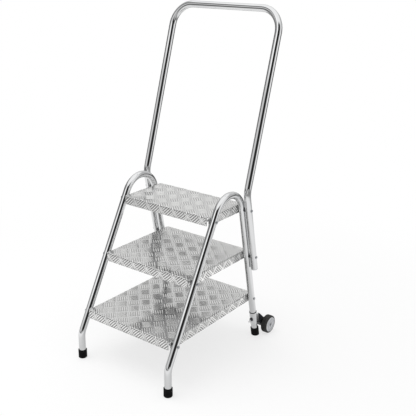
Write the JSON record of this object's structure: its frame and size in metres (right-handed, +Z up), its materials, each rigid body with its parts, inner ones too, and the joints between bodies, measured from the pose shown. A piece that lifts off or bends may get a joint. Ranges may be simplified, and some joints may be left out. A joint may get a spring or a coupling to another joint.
{
  "type": "step stool",
  "caption": "Mobile step stool with bent chrome tube side frames, folded tread plate steps, a tall bent tube handrail, rubber feet and tilt wheels behind the rear legs.",
  "frame": {"origin": "on the floor, under the middle of the bounding box", "axes": "+X to the right as seen from the front, where a person climbs; +Y to the back, towards handrail and wheels; +Z up"},
  "size_m": [0.4968, 0.623, 1.238],
  "materials": {
    "chrome_tube": "bright chrome plate",
    "tread_plate": "mill finish tread plate",
    "foot_rubber": "matt black rubber",
    "black_plastic": "fine grained black plastic",
    "grey_plastic": "light grey plastic",
    "tyre_rubber": "matt black rubber",
    "zinc_steel": "bright zinc plate"
  },
  "bodies": {
    "frame": {"left_side_frame": "chrome_tube", "right_side_frame": "chrome_tube", "handrail": "chrome_tube", "lower_tread": "tread_plate", "middle_tread": "tread_plate", "upper_tread": "tread_plate", "front_left_foot": "foot_rubber", "front_right_foot": "foot_rubber", "rear_left_foot": "foot_rubber", "rear_right_foot": "foot_rubber", "left_handrail_plug": "grey_plastic", "right_handrail_plug": "grey_plastic", "handrail_spacers": "black_plastic", "left_wheel_sleeve": "chrome_tube", "right_wheel_sleeve": "chrome_tube", "left_wheel_arm": "black_plastic", "right_wheel_arm": "black_plastic", "left_axle_bolt": "zinc_steel", "right_axle_bolt": "zinc_steel", "axle_washers": "zinc_steel", "axle_nuts": "zinc_steel", "arm_bolts": "zinc_steel", "arm_nuts": "zinc_steel", "tread_bolts": "zinc_steel", "handrail_bolts": "zinc_steel", "tread_washers": "zinc_steel", "tread_nuts": "zinc_steel"},
    "left_wheel": {"left_wheel_rim": "grey_plastic", "left_tyre": "tyre_rubber"},
    "right_wheel": {"right_wheel_rim": "grey_plastic", "right_tyre": "tyre_rubber"}
  },
  "joints": [
    {"name": "left_wheel_spin", "type": "hinge", "parent": "frame", "child": "left_wheel", "pos_m": [-0.2334, 0.2765, 0.037], "axis": [1, 0, 0], "continuous": true},
    {"name": "right_wheel_spin", "type": "hinge", "parent": "frame", "child": "right_wheel", "pos_m": [0.2334, 0.2765, 0.037], "axis": [1, 0, 0], "continuous": true}
  ]
}
